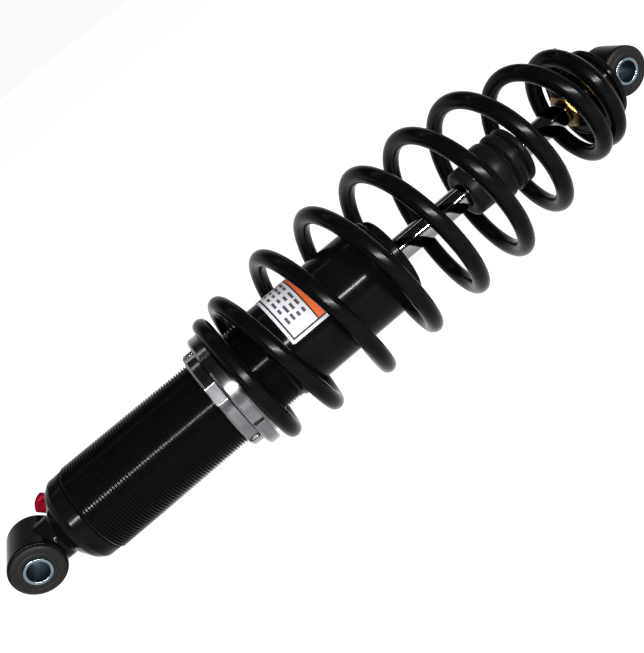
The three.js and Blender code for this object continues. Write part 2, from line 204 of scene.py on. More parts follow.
def rounded(profile, radii, steps=5):
    """Round the corners of a closed [x, r] profile; radii is one radius or one per corner."""
    n = len(profile)
    if not isinstance(radii, (list, tuple)):
        radii = [radii] * n
    out = []
    for i in range(n):
        p = Vector(profile[i]).to_2d()
        a, b = Vector(profile[i - 1]).to_2d() - p, Vector(profile[(i + 1) % n]).to_2d() - p
        sharp = radii[i] <= 0 or a.length < 1e-6 or b.length < 1e-6
        half = 0 if sharp else a.angle(b) / 2
        if sharp or half > math.radians(86):     # nothing to round, or nearly straight
            out.append(tuple(p))
            continue
        back = min(radii[i] / math.tan(half), 0.48 * a.length, 0.48 * b.length)
        p0, p1 = p + a.normalized() * back, p + b.normalized() * back
        for k in range(steps + 1):
            t = k / steps
            out.append(tuple(p0 * (1 - t) ** 2 + p * 2 * t * (1 - t) + p1 * t ** 2))
    return out


def lathe(name, profile, segments=128, smooth=35, axis="X", at=0.0):
    """Spin a closed profile of (x, r) in mm about the shock axis, or about Y through x = at."""
    ring = [(x, max(r, 0.0)) for x, r in profile]
    n = len(ring)
    verts, faces = [], []
    for i in range(segments):
        t = 2 * math.pi * i / segments
        c, s = math.cos(t), math.sin(t)
        for x, r in ring:
            if axis == "X":
                verts.append((x * MM, r * c * MM, r * s * MM))
            else:
                verts.append(((at + r * c) * MM, x * MM, r * s * MM))
    for i in range(segments):
        j = (i + 1) % segments
        for k in range(n):
            m = (k + 1) % n
            if ring[k][1] == 0 and ring[m][1] == 0:
                continue
            a, b, c, d = i * n + k, i * n + m, j * n + m, j * n + k
            if ring[k][1] == 0:
                faces.append((a, b, c))
            elif ring[m][1] == 0:
                faces.append((a, b, d))
            else:
                faces.append((a, b, c, d))
    return new_object(name, verts, faces, smooth)


def smooth_along(stations, keys):
    """Monotone cubic through stations (key, value)."""
    xs, ys = np.array([s[0] for s in stations], float), np.array([s[1] for s in stations], float)
    h = np.diff(xs)
    slope = np.diff(ys) / h
    m = np.zeros_like(ys)
    m[0], m[-1] = slope[0], slope[-1]
    for i in range(1, len(xs) - 1):
        if slope[i - 1] * slope[i] > 0:
            w1, w2 = 2 * h[i] + h[i - 1], h[i] + 2 * h[i - 1]
            m[i] = (w1 + w2) / (w1 / slope[i - 1] + w2 / slope[i])
    k = np.clip(np.searchsorted(xs, keys, side="right") - 1, 0, len(h) - 1)
    t = np.clip((keys - xs[k]) / h[k], 0, 1)
    return ((2 * t ** 3 - 3 * t ** 2 + 1) * ys[k] + (t ** 3 - 2 * t ** 2 + t) * h[k] * m[k]
            + (-2 * t ** 3 + 3 * t ** 2) * ys[k + 1] + (t ** 3 - t ** 2) * h[k] * m[k + 1])


# ------------------------------------------------------------------ materials
def material(name):
    mat = bpy.data.materials.new(name)
    mat.use_nodes = True
    nodes, links = mat.node_tree.nodes, mat.node_tree.links
    nodes.clear()
    out = nodes.new("ShaderNodeOutputMaterial")
    bsdf = nodes.new("ShaderNodeBsdfPrincipled")
    links.new(bsdf.outputs[0], out.inputs[0])
    coords = nodes.new("ShaderNodeTexCoord")
    return mat, nodes, links, bsdf, coords.outputs["Object"]


def noise(nodes, links, vector, scale, detail=4, rough=0.55, stretch=None):
    if stretch:
        mapping = nodes.new("ShaderNodeMapping")
        mapping.inputs["Scale"].default_value = stretch
        links.new(vector, mapping.inputs["Vector"])
        vector = mapping.outputs[0]
    tex = nodes.new("ShaderNodeTexNoise")
    tex.inputs["Scale"].default_value = scale
    tex.inputs["Detail"].default_value = detail
    tex.inputs["Roughness"].default_value = rough
    links.new(vector, tex.inputs["Vector"])
    return tex.outputs["Fac"]


def ramp(nodes, links, fac, stops):
    node = nodes.new("ShaderNodeValToRGB")
    elements = node.color_ramp.elements
    while len(elements) > 1:
        elements.remove(elements[-1])
    elements[0].position, elements[0].color = stops[0][0], (*stops[0][1], 1)
    for position, colour in stops[1:]:
        e = elements.new(position)
        e.color = (*colour, 1)
    links.new(fac, node.inputs[0])
    return node.outputs[0]


def remap(nodes, links, value, a, b, c, d):
    node = nodes.new("ShaderNodeMapRange")
    for i, v in enumerate((a, b, c, d)):
        node.inputs[i + 1].default_value = v
    links.new(value, node.inputs[0])
    return node.outputs[0]


def maths(nodes, links, operation, a, b=None):
    node = nodes.new("ShaderNodeMath")
    node.operation = operation
    for i, v in enumerate((a, b)):
        if v is None:
            continue
        if isinstance(v, (int, float)):
            node.inputs[i].default_value = v
        else:
            links.new(v, node.inputs[i])
    return node.outputs[0]


def bump(nodes, links, bsdf, height, strength, distance):
    node = nodes.new("ShaderNodeBump")
    node.inputs["Strength"].default_value = strength
    node.inputs["Distance"].default_value = distance
    links.new(height, node.inputs["Height"])
    links.new(node.outputs[0], bsdf.inputs["Normal"])


def grey(v, tint=(1, 1, 1)):
    return tuple(v * t for t in tint)


def finish_material(name, dark, light, rough, metallic=0.0, scale=400, bump_scale=1500, bump_strength=0.1,
                    bump_distance=0.00004, stretch=None, spec=0.5, marks=0.0):
    """A finish with colour drift, uneven gloss and fine relief; marks adds fine scuffs."""
    mat, nodes, links, bsdf, xyz = material(name)
    drift = noise(nodes, links, xyz, scale, 5, 0.6, stretch)
    links.new(ramp(nodes, links, drift, [(0.3, dark), (0.7, light)]), bsdf.inputs["Base Color"])
    gloss = noise(nodes, links, xyz, scale * 2.3, 6, 0.65, stretch)
    if marks:
        scuff = noise(nodes, links, xyz, 900, 3, 0.7, (0.25, 3.0, 3.0))
        gloss = maths(nodes, links, "ADD", gloss, maths(nodes, links, "MULTIPLY", scuff, marks))
    links.new(remap(nodes, links, gloss, 0.3, 0.75 + marks, rough[0], rough[1]), bsdf.inputs["Roughness"])
    bsdf.inputs["Metallic"].default_value = metallic
    bsdf.inputs["Specular IOR Level"].default_value = spec
    relief = noise(nodes, links, xyz, bump_scale, 4, 0.6, stretch)
    bump(nodes, links, bsdf, relief, bump_strength, bump_distance)
    return mat


def turned_material(name, dark, light, rough, rings=5200):
    """Bare turned metal: fine tool rings round the shock axis with slight colour drift."""
    mat, nodes, links, bsdf, xyz = material(name)
    split = nodes.new("ShaderNodeSeparateXYZ")
    links.new(xyz, split.inputs[0])
    x, y, z = split.outputs
    m = partial(maths, nodes, links)
    radius = m("SQRT", m("ADD", m("MULTIPLY", y, y), m("MULTIPLY", z, z)))
    run = m("ADD", m("MULTIPLY", x, rings), m("MULTIPLY", radius, rings))
    wave = m("SINE", run)
    drift = noise(nodes, links, xyz, 260, 5, 0.6)
    fine = noise(nodes, links, xyz, 90, 6, 0.7, (60.0, 1.0, 1.0))
    mixed = m("ADD", m("MULTIPLY", drift, 0.6), m("MULTIPLY", fine, 0.4))
    links.new(ramp(nodes, links, mixed, [(0.35, dark), (0.65, light)]), bsdf.inputs["Base Color"])
    links.new(remap(nodes, links, fine, 0.3, 0.7, rough[0], rough[1]), bsdf.inputs["Roughness"])
    bsdf.inputs["Metallic"].default_value = 1.0
    height = m("ADD", m("MULTIPLY", wave, 0.5), fine)
    bump(nodes, links, bsdf, height, 0.25, 0.00001)
    return mat


# colours and gloss are ranges: the darkest and lightest spot, the smoothest and roughest spot
BLACK_GLOSS = finish_material(
    "black_gloss", grey(0.0007), grey(0.0012, (1, 1, 1.08)), (0.12, 0.18),
    scale=260, bump_scale=1500, bump_strength=0.05, marks=0.12, spec=0.030)
BLACK_THREAD = finish_material(
    "black_thread", grey(0.0007), grey(0.0012, (1, 1, 1.06)), (0.10, 0.16),
    scale=420, bump_scale=1800, bump_strength=0.05, marks=0.12, spec=0.032)
POWDER = finish_material(
    "powder_coat", grey(0.0004), grey(0.0008), (0.19, 0.22),
    scale=260, bump_scale=520, bump_strength=0.02, bump_distance=0.00003, spec=0.040)
RUBBER = finish_material(
    "black_rubber", grey(0.002), grey(0.004), (0.40, 0.54),
    scale=600, bump_scale=2600, bump_strength=0.3, spec=0.06)
BUMP_RUBBER = finish_material(
    "bump_foam", grey(0.0014), grey(0.0028), (0.30, 0.42),
    scale=420, bump_scale=2600, bump_strength=0.3, spec=0.032)
ZINC = turned_material("zinc_plate", (0.09, 0.12, 0.145), (0.15, 0.19, 0.22), (0.16, 0.30), rings=3000)
ALLOY = turned_material("turned_alloy", (0.11, 0.11, 0.117), (0.165, 0.165, 0.174), (0.12, 0.20))
YELLOW = finish_material(
    "yellow_zinc", (0.10, 0.052, 0.014), (0.17, 0.095, 0.028), (0.22, 0.36),
    metallic=1.0, scale=220, bump_scale=1500, bump_strength=0.12)
RED = finish_material(
    "red_anodised", (0.26, 0.003, 0.012), (0.40, 0.006, 0.022), (0.16, 0.26),
    metallic=0.9, scale=500, bump_scale=2200, bump_strength=0.12)
BRONZE = finish_material(
    "bronze_liner", (0.32, 0.2, 0.09), (0.5, 0.34, 0.16), (0.3, 0.45),
    metallic=1.0, scale=400, bump_scale=1500, bump_strength=0.1)
SEAL = finish_material(
    "seal_ring", (0.05, 0.09, 0.2), (0.09, 0.14, 0.3), (0.4, 0.55),
    scale=500, bump_scale=2200, bump_strength=0.15)
CHROME = finish_material(
    "hard_chrome", grey(0.17, (0.98, 1.0, 1.03)), grey(0.20, (0.98, 1.0, 1.03)), (0.03, 0.07),
    metallic=1.0, scale=700, bump_scale=2600, bump_strength=0.02, bump_distance=0.00001,
    stretch=(0.2, 3.0, 3.0))


def label_material():
    """White film with a printed frame, a coloured header and rows of plain bars."""
    mat, nodes, links, bsdf, xyz = material("label_print")
    split = nodes.new("ShaderNodeSeparateXYZ")
    links.new(xyz, split.inputs[0])
    x, y, z = split.outputs
    m = partial(maths, nodes, links)
    around = m("MULTIPLY", m("ARCTAN2", z, y), TUBE_R)               # mm round the tube
    along = m("MULTIPLY", m("SUBTRACT", x, LABEL_X0 * MM), 1000.0)   # mm from the label's edge

    def band(value, lo, hi):
        return m("MULTIPLY", m("GREATER_THAN", value, lo), m("LESS_THAN", value, hi))

    a0, a1 = math.radians(LABEL_FROM) * TUBE_R, math.radians(LABEL_TO) * TUBE_R
    width = LABEL_X1 - LABEL_X0
    inset, framed = LABEL_INSET, LABEL_INSET + LABEL_LINE
    outer = m("MULTIPLY", band(along, inset, width - inset), band(around, a0 + inset, a1 - inset))
    inner = m("MULTIPLY", band(along, framed, width - framed), band(around, a0 + framed, a1 - framed))
    border = m("SUBTRACT", outer, inner)
    header_edge = width - framed - LABEL_HEADER
    header = m("MULTIPLY", band(along, header_edge, width - framed), inner)
    rule = m("MULTIPLY", band(along, header_edge - LABEL_RULE, header_edge), inner)
    # bars: rows step along X and words step round the tube, shifted and sized by a hash of their numbers
    row_gap, word_gap, first_row = 3.0, 5.6, 3.6
    row_at = m("DIVIDE", m("SUBTRACT", along, first_row), row_gap)
    row = m("FLOOR", row_at)
    in_row = band(m("SUBTRACT", row_at, row), 0.20, 0.68)
    shift = m("FRACT", m("MULTIPLY", m("SINE", m("MULTIPLY", row, 12.9898)), 43.7585))
    word_at = m("ADD", m("DIVIDE", around, word_gap), shift)
    word = m("FLOOR", word_at)
    seed = m("ADD", m("MULTIPLY", word, 78.233), m("MULTIPLY", row, 3.17))
    word_noise = m("FRACT", m("MULTIPLY", m("SINE", seed), 4375.5))
    word_share = m("ADD", m("MULTIPLY", word_noise, 0.42), 0.45)
    in_word = m("LESS_THAN", m("SUBTRACT", word_at, word), word_share)
    text_area = (band(along, first_row, width - framed - 5.2), band(around, a0 + 5.0, a1 - 8.5))
    rows_only = m("MULTIPLY", *text_area)
    text = m("MULTIPLY", m("MULTIPLY", in_row, in_word), rows_only)
    grain = noise(nodes, links, xyz, 1200, 3)
    base = ramp(nodes, links, grain, [(0.3, (0.17, 0.17, 0.182)), (0.7, (0.195, 0.195, 0.208))])

    def over(lower, colour, mask):
        mix = nodes.new("ShaderNodeMix")
        mix.data_type = "RGBA"
        links.new(mask, mix.inputs["Factor"])
        links.new(lower, mix.inputs["A"])
        mix.inputs["B"].default_value = (*colour, 1)
        return mix.outputs["Result"]

    black = (0.004, 0.004, 0.004)
    colour = over(base, (0.02, 0.02, 0.025), text)
    colour = over(colour, (0.22, 0.040, 0.010), header)
    colour = over(colour, black, rule)
    colour = over(colour, black, border)
    links.new(colour, bsdf.inputs["Base Color"])
    links.new(remap(nodes, links, grain, 0.3, 0.7, 0.46, 0.58), bsdf.inputs["Roughness"])
    bsdf.inputs["Specular IOR Level"].default_value = 0.06
    bump(nodes, links, bsdf, grain, 0.1, 0.00002)
    return mat


def place(obj, mat, body, slot, *nodes):
    """Give a piece its one material and its body, and hide the CAD nodes it stands for; slot is not used."""
    obj.data.materials.clear()
    obj.data.materials.append(mat)
    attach(obj, body)
    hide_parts(*nodes)
    return obj


# ------------------------------------------------------------------ eyes
def eye_skin(name, r, half, x):
    """Solid barrel of an eye, across the shock at x."""
    profile = rounded([(-half, 0), (-half, r), (half, r), (half, 0)], [0, 1.0, 1.0, 0], 4)
    return lathe(name, profile, 128, 35, "Y", x)


def eye_bore(x):
    """Tool for the hole across the shock at x."""
    return lathe("bore_tool", [(-30, 0), (-30, EYE_BORE_R), (30, EYE_BORE_R), (30, 0)], 128, 35, "Y", x)


def bushing(name, x, half_eye, body, node):
    """Rubber between eye and sleeve, with a lip over each face of the eye."""
    sleeve_r, bore_r, lip_r = 6.62, 9.9, 12.2
    inside, outside = half_eye + 0.15, half_eye + RUBBER_PAST_EYE
    profile = rounded([
        (-outside, sleeve_r), (-outside - 0.05, 8.2), (-outside + 0.25, 9.0), (-outside, 9.8),
        (-outside + 0.1, lip_r - 0.9), (-outside + 0.8, lip_r), (-inside, lip_r), (-inside, bore_r),
        (inside, bore_r), (inside, lip_r), (outside - 0.8, lip_r), (outside - 0.1, lip_r - 0.9),
        (outside, 9.8), (outside - 0.25, 9.0), (outside + 0.05, 8.2), (outside, sleeve_r)], 0.35, 3)
    obj = lathe(name, profile, 112, 40, "Y", x)
    return place(obj, RUBBER, body, "black_rubber", node)


def sleeve(name, x, half_eye, body, node):
    """Steel sleeve for the mounting bolt."""
    half = half_eye + SLEEVE_PAST_EYE
    profile = rounded([(-half, 5.1), (-half, 6.6), (half, 6.6), (half, 5.1)], [0.5, 0.4, 0.4, 0.5], 4)
    obj = lathe(name, profile, 96, 35, "Y", x)
    return place(obj, ZINC, body, "zinc_steel", node)


def merged_casting(name, parts, voxel):
    """Fuse overlapping solids into one skin with soft fillets between them."""
    main = parts[0]
    for other in parts[1:]:
        boolean(main, other, "UNION")
    m = main.modifiers.new("remesh", "REMESH")
    m.mode, m.voxel_size, m.adaptivity = "VOXEL", voxel * MM, 0.0
    s = main.modifiers.new("smooth", "SMOOTH")
    s.factor, s.iterations = 0.5, 5
    apply_modifiers(main)
    main.name = name
    for poly in main.data.polygons:
        poly.use_smooth = True
    return main


# ------------------------------------------------------------------ body side
def onto_valve(obj):
    """Move a piece turned about X on to the valve's own axis."""
    turn = Vector((1, 0, 0)).rotation_difference(VALVE_AXIS).to_matrix().to_4x4()
    obj.data.transform(Matrix.Translation(VALVE_AT) @ turn)
    obj.data.update()
    return obj


def end_cap():
    cap = lathe("cap_skin", rounded([
        (5.0, 0), (5.0, 11.0), (15.6, 11.2), (18.3, 15.4), (21.6, 20.0), (25.2, 22.4), (31.7, 22.6),
        (31.7, 18.7), (44.0, 18.7), (44.0, 0)], [0, 0, 1.6, 1.5, 4, 3, 0.5, 0.5, 0.8, 0], 6), 160, 35)
    eye = eye_skin("eye_skin", BODY_EYE_R, BODY_EYE_HALF, 0)
    body = merged_casting("end_cap_body", [cap, eye], voxel=0.42)
    boolean(body, eye_bore(0))
    boolean(body, onto_valve(lathe("port_tool", [(-9, 0), (-9, 3.2), (20, 3.2), (20, 0)], 48)))
    shade(body, 40)
    return place(body, BLACK_GLOSS, "damper_body", "black_anodised", "end_cap")


def hex_prism(name, x0, x1, across, hole, dome, segments=48):
    """Hexagon with turned chamfers; hole is a radius, dome the radius where the chamfers start."""
    r = across / math.sqrt(3)
    verts, faces = [], []
    for x in (x0, x1):
        for i in range(6):
            t = math.radians(60 * i)
            verts.append((x * MM, r * math.cos(t) * MM, r * math.sin(t) * MM))
    faces.append(tuple(range(5, -1, -1)))
    faces.append(tuple(range(6, 12)))
    for i in range(6):
        j = (i + 1) % 6
        faces.append((i, j, 6 + j, 6 + i))
    obj = new_object(name, verts, faces, 0)
    c = (r - dome) * 0.58          # chamfers at about 30 degrees
    dome_profile = [(x0, 0), (x0, dome), (x0 + c, r + 0.05), (x1 - c, r + 0.05), (x1, dome), (x1, 0)]
    boolean(obj, lathe("dome_tool", dome_profile, segments * 2), "INTERSECT")
    boolean(obj, lathe("hole_tool", [(x0 - 5, 0), (x0 - 5, hole), (x1 + 5, hole), (x1 + 5, 0)], segments))
    clean(obj)
    return bevel(obj, 0.18, 2, 25, 30)


def gas_valve():
    stem_profile = rounded([(-8, 0), (-8, 2.6), (7.4, 2.6), (8.4, 2.0), (8.4, 0.9), (7.9, 0.8), (7.9, 0)],
                           [0, 0.2, 0.6, 0.6, 0.2, 0.2, 0], 4)
    stem = onto_valve(lathe("gas_valve_stem", stem_profile, 48))
    place(stem, RUBBER, "damper_body", "black_rubber", "fill_valve")
    cap = onto_valve(hex_prism("gas_valve_cap", 1.2, 7.4, across=9.2, hole=2.75, dome=4.45))
    place(cap, RED, "gas_valve_cap", "red_anodised", "valve_cap")


def tube_thread(n):
    """Thread as one sheet: four rows of n points a turn along a true helix, fading out at both ends."""
    x0, x1 = TUBE_LO[0] / MM, THREAD_X1
    steps = ((0.0, 0.0), (0.16, 0.0), (0.5, 1.0), (0.70, 1.0))   # (share of the pitch, share of the depth)
    turns = int((x1 - x0) / PITCH) + 2
    verts = []
    for k in range(-4, turns * 4):
        share, depth = steps[k % 4]
        base = x0 + PITCH * (k // 4 + share)
        for i in range(n):
            x = base + PITCH * i / n
            fade = min(max((x - x0) / 1.6, 0), 1) * min(max((x1 - 0.6 - x) / 2.2, 0), 1)
            lead = 0.8 * max(0.0, 1 - (x - x0) / 1.0)
            r = THREAD_R - THREAD_DEPTH * depth * fade - lead
            x, t = min(max(x, x0), x1), 2 * math.pi * i / n
            verts.append((x * MM, r * math.cos(t) * MM, r * math.sin(t) * MM))
    count = len(verts) // n
    faces = []
    for k in range(count - 1):
        for i in range(n - 1):
            faces.append((k * n + i, (k + 1) * n + i, (k + 1) * n + i + 1, k * n + i + 1))
        if k + 5 < count:       # the last point of a row meets the first point one turn further on
            faces.append((k * n + n - 1, (k + 1) * n + n - 1, (k + 5) * n, (k + 4) * n))
    return weld("damper_tube_thread", verts, faces)


def weld(name, verts, faces):
    """Mesh object whose coinciding points are merged and whose collapsed faces are dropped."""
    obj = new_object(name, verts, [], 0)
    bm = bmesh.new()
    for v in verts:
        bm.verts.new(v)
    bm.verts.ensure_lookup_table()
    for f in faces:
        points = {tuple(round(c, 9) for c in verts[i]) for i in f}
        if len(points) >= 3:
            bm.faces.new([bm.verts[i] for i in f])
    bmesh.ops.remove_doubles(bm, verts=bm.verts, dist=2e-7)
    bmesh.ops.dissolve_degenerate(bm, edges=bm.edges, dist=2e-7)
    bm.to_mesh(obj.data)
    bm.free()
    return obj


def tube_shell(n):
    """Plain part, mouth, bore and foot of the tube; it runs on inside the thread."""
    x0, x1 = TUBE_LO[0] / MM, THREAD_X1
    foot_r = 20.6
    profile = rounded([
        (x1 - 0.4, foot_r), (x1 - 0.4, THREAD_R - 0.02), (x1 + 0.1, THREAD_R), (x1 + 1.3, TUBE_R),
        (TUBE_X1, TUBE_R), (TUBE_X1, BORE_R), (x0 + 0.02, BORE_R), (x0 + 0.02, foot_r)],
        [0, 0, 0.3, 0.8, 1.4, 0.3, 0, 0], 6)
    return lathe("tube_shell", profile, n, 35)


def join_objects(name, objects):
    """Put the meshes of several objects into one object."""
    bm = bmesh.new()
    for o in objects:
        bm.from_mesh(o.data)
        bpy.data.objects.remove(o)
    mesh = bpy.data.meshes.new(name)
    bm.to_mesh(mesh)
    bm.free()
    obj = bpy.data.objects.new(name, mesh)
    bpy.context.scene.collection.objects.link(obj)
    return obj


def damper_tube():
    n = 144
    tube = join_objects("damper_tube_body", [tube_thread(n), tube_shell(n)])
    shade(tube, 50)
    return place(tube, BLACK_THREAD, "damper_body", "black_anodised", "damper_tube")


def label():
    """Closed film on the tube: an outer and an inner sheet of points joined round their edge."""
    r0, r1, n, m = TUBE_R + 0.04, TUBE_R + 0.22, 96, 24
    corner = 0.5
    verts, faces = [], []
    for shell_r in (r1, r0):
        for j in range(m + 1):
            x = LABEL_X0 + (LABEL_X1 - LABEL_X0) * j / m
            pull = min(x - LABEL_X0, LABEL_X1 - x)
            trim = corner - math.sqrt(max(corner ** 2 - (corner - pull) ** 2, 0)) if pull < corner else 0
            a0 = math.radians(LABEL_FROM) + trim / TUBE_R
            a1 = math.radians(LABEL_TO) - trim / TUBE_R
            for i in range(n + 1):
                t = a0 + (a1 - a0) * i / n
                verts.append((x * MM, shell_r * math.cos(t) * MM, shell_r * math.sin(t) * MM))
    w, total = n + 1, (n + 1) * (m + 1)
    for j in range(m):
        for i in range(n):
            a = j * w + i
            faces.append((a, a + 1, a + w + 1, a + w))
            faces.append((total + a, total + a + w, total + a + w + 1, total + a + 1))
    edge = (list(range(n + 1)) + [j * w + n for j in range(1, m + 1)]
            + [m * w + i for i in range(n - 1, -1, -1)] + [j * w for j in range(m - 1, 0, -1)])
    for a, b in zip(edge, edge[1:] + edge[:1]):
        faces.append((a, b, total + b, total + a))
    obj = new_object("label_film", verts, faces, 35)
    return place(obj, label_material(), "damper_body", "label_film", "label")


def seal_head_parts():
    cap = lathe("seal_head_collar", rounded([
        (209.2, 6.9), (209.2, 18.7), (213.6, 18.7), (213.6, 21.4), (218.0, 21.4), (218.0, 13.6),
        (217.1, 12.9), (217.1, 10.3), (213.4, 10.3), (213.4, 6.9)],
        [0.1, 0.3, 0.1, 0.3, 1.7, 0.4, 0.4, 0.3, 0.1, 0.1], 6), 144)
    place(cap, BLACK_GLOSS, "damper_body", "black_anodised", "seal_head_cap")
    wiper = lathe("rod_wiper", rounded([
        (213.6, 6.5), (213.6, 10.1), (218.1, 10.1), (219.0, 8.6), (219.6, 7.0), (219.6, 6.4)],
        [0.1, 0.3, 0.5, 0.4, 0.15, 0.1], 4), 96)
    place(wiper, RUBBER, "damper_body", "black_rubber", "wiper_seal")


# ------------------------------------------------------------------ spring and rings
def notched_ring(name, profile, x0, x1, floor, first):
    """Turned ring with hook-spanner notches: x0..x1 and floor radius of a notch, first is its angle."""
    obj = lathe(name, profile, 180)
    half = NOTCH_WIDTH / 2
    for i in range(NOTCHES):
        tool = block("notch_tool", (x0 - 2, x1 + 2), (floor, floor + 12), (-half, half))
        tool.data.transform(Matrix.Rotation(math.radians(first + 360 / NOTCHES * i), 4, "X"))
        boolean(obj, tool)
    clean(obj)
    return bevel(obj, 0.16, 3, 32, 30)


def rings():
    bore = THREAD_R + 0.06
    lock = notched_ring("lock_ring_body", [
        (LOCK_X0, bore + 0.8), (LOCK_X0, LOCK_R - 1.1), (LOCK_X0 + 1.1, LOCK_R), (LOCK_X1, LOCK_R),
        (LOCK_X1, bore + 0.8), (LOCK_X1 - 0.8, bore), (LOCK_X0 + 0.8, bore)],
        LOCK_X0, LOCK_X1, LOCK_FLOOR_R, LOCK_NOTCH_AT)
    place(lock, ALLOY, "lock_ring", "bare_alloy", "lock_ring")
    preload = notched_ring("preload_ring_body", [
        (PRELOAD_X0, bore + 0.8), (PRELOAD_X0, PRELOAD_R - 1.1), (PRELOAD_X0 + 1.1, PRELOAD_R),
        (PRELOAD_X1, PRELOAD_R), (PRELOAD_X1, HUB_R), (HUB_X1 - 0.6, HUB_R), (HUB_X1, HUB_R - 0.6),
        (HUB_X1, bore + 0.8), (HUB_X1 - 0.8, bore), (PRELOAD_X0 + 0.8, bore)],
        PRELOAD_X0, PRELOAD_X1 - 2.01, PRELOAD_FLOOR_R, PRELOAD_NOTCH_AT)
    place(preload, ALLOY, "preload_ring", "bare_alloy", "preload_ring")


def spring_centre(deg):
    """Centre of the wire in mm at winding angles deg, with the angle round the shock axis."""
    x = smooth_along(RISE, deg)
    r = smooth_along(RADIUS, x)
    w = np.radians(SPRING_START + deg)
    opened = np.clip((deg - OPEN_FROM) / OPEN_FADE, 0, 1) * np.clip((OPEN_TO - deg) / OPEN_FADE, 0, 1)
    lean = SPRING_LEAN * opened
    bow = BOW * np.sin(np.pi * np.clip((x - BOW_X0) / (BOW_X1 - BOW_X0), 0, 1))
    bow_side = math.radians(BOW_AROUND)
    centre = np.stack([x - lean * np.cos(w), r * np.cos(w) + bow * math.cos(bow_side),
                       r * np.sin(w) + bow * math.sin(bow_side)], 1)
    return centre, x, w


def coil_spring():
    sides, per_turn = 28, 64
    n = int(round((SPRING_END - SPRING_FROM) / 360 * per_turn))
    centre, x, w = spring_centre(np.linspace(SPRING_FROM, SPRING_END, n + 1))
    run = np.gradient(centre, axis=0)
    run /= np.linalg.norm(run, axis=1)[:, None]
    out = np.stack([0 * w, np.cos(w), np.sin(w)], 1)
    side = np.cross(run, out)
    side /= np.linalg.norm(side, axis=1)[:, None]
    up = np.cross(side, run)
    verts, station = [], []
    t = 2 * np.pi * np.arange(sides) / sides
    for i in range(n + 1):
        section = centre[i] + WIRE_R * (np.cos(t)[:, None] * up[i] + np.sin(t)[:, None] * side[i])
        # the ends are ground flat where they pass the seats
        section[:, 0] = np.clip(section[:, 0], SPRING_LO[0] / MM, SPRING_HI[0] / MM)
        verts.extend(section * MM)
        station.extend([x[i]] * sides)
    faces = []
    for i in range(n):
        for k in range(sides):
            a, b = i * sides + k, i * sides + (k + 1) % sides
            faces.append((a, b, b + sides, a + sides))
    faces.append(tuple(range(sides - 1, -1, -1)))
    faces.append(tuple(n * sides + k for k in range(sides)))
    mesh = bpy.data.meshes.new("coil_spring_wire")
    mesh.from_pydata([tuple(v) for v in verts], [], faces)
    mesh.update()
    obj = bpy.data.objects.new("coil_spring_wire", mesh)
    bpy.context.scene.collection.objects.link(obj)
    bm = bmesh.new()
    bm.from_mesh(mesh)
    bmesh.ops.recalc_face_normals(bm, faces=bm.faces)
    bm.to_mesh(mesh)
    bm.free()
    shade(obj, 50)
    obj.data.materials.append(POWDER)
    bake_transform(obj)
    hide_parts("coil_spring")
    return obj


# ------------------------------------------------------------------ shaft side
def bump_profile():
    """Lobed outline: a soft nose and three lobes with rounded grooves."""
    nose = [(264.0, 11.2), (264.5, 12.0), (265.6, 12.5), (270.0, 12.7), (275.0, 12.8)]
    big_lobe = [(276.0, 13.3), (277.0, 14.9), (278.8, 16.0), (281.5, 16.2), (284.0, 16.1), (285.6, 15.3)]
    middle_lobe = [(286.8, 13.3), (288.0, 15.2), (289.6, 16.0), (291.4, 15.9), (292.9, 14.9)]
    end_lobe = [(293.9, 12.9), (294.9, 14.6), (296.2, 15.4), (297.4, 15.1), (297.9, 14.0)]
    key = nose + big_lobe + middle_lobe + end_lobe
    xs = np.linspace(key[0][0], key[-1][0], 150)
    outer = [(float(a), float(b)) for a, b in zip(xs, smooth_along(key, xs))]
    nose_face = [(264.3, 6.62), (264.0, 7.4), (263.95, 9.6)]
    nut_face = [(298.05, 12.4), (298.05, 7.0), (297.8, 6.62)]
    return nose_face + outer + nut_face


def shaft():
    rod = lathe("piston_rod_shaft", rounded([
        (158.6, 0), (158.6, 3.4), (159.2, 4.0), (186, 4.0), (186, 5.9), (186.5, ROD_R), (329.7, ROD_R),
        (330.3, 5.0), (344.6, 5.0), (344.6, 0)], [0, 0.2, 0.2, 0.1, 0.2, 0.2, 0.3, 0.2, 0.2, 0], 3), 128)
    place(rod, CHROME, "shaft", "chrome", "piston_rod")
    stop = lathe("bump_stop_body", bump_profile(), 128, 50)
    place(stop, BUMP_RUBBER, "bump_stop", "black_rubber", "bump_stop")
    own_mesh(stop)
    nut = hex_prism("jam_nut_body", NUT_LO[0] / MM, NUT_HI[0] / MM, across=17.0, hole=5.25, dome=8.5,
                    segments=64)
    place(nut, YELLOW, "shaft", "yellow_zinc", "jam_nut")
    seat = lathe("spring_seat_cup", rounded([
        (338.2, 9.3), (338.2, 12.5), (336.4, 12.5), (336.4, 18.0), (350.3, 18.0), (350.3, 20.4),
        (353.2, 20.4), (353.2, 14.9), (341.7, 14.9), (341.7, 9.3)],
        [0.3, 0.4, 0.4, 1.6, 0.6, 0.4, 0.8, 0.5, 0.8, 0.4], 5), 144)
    place(seat, BLACK_GLOSS, "spring_seat", "black_anodised", "spring_retainer")


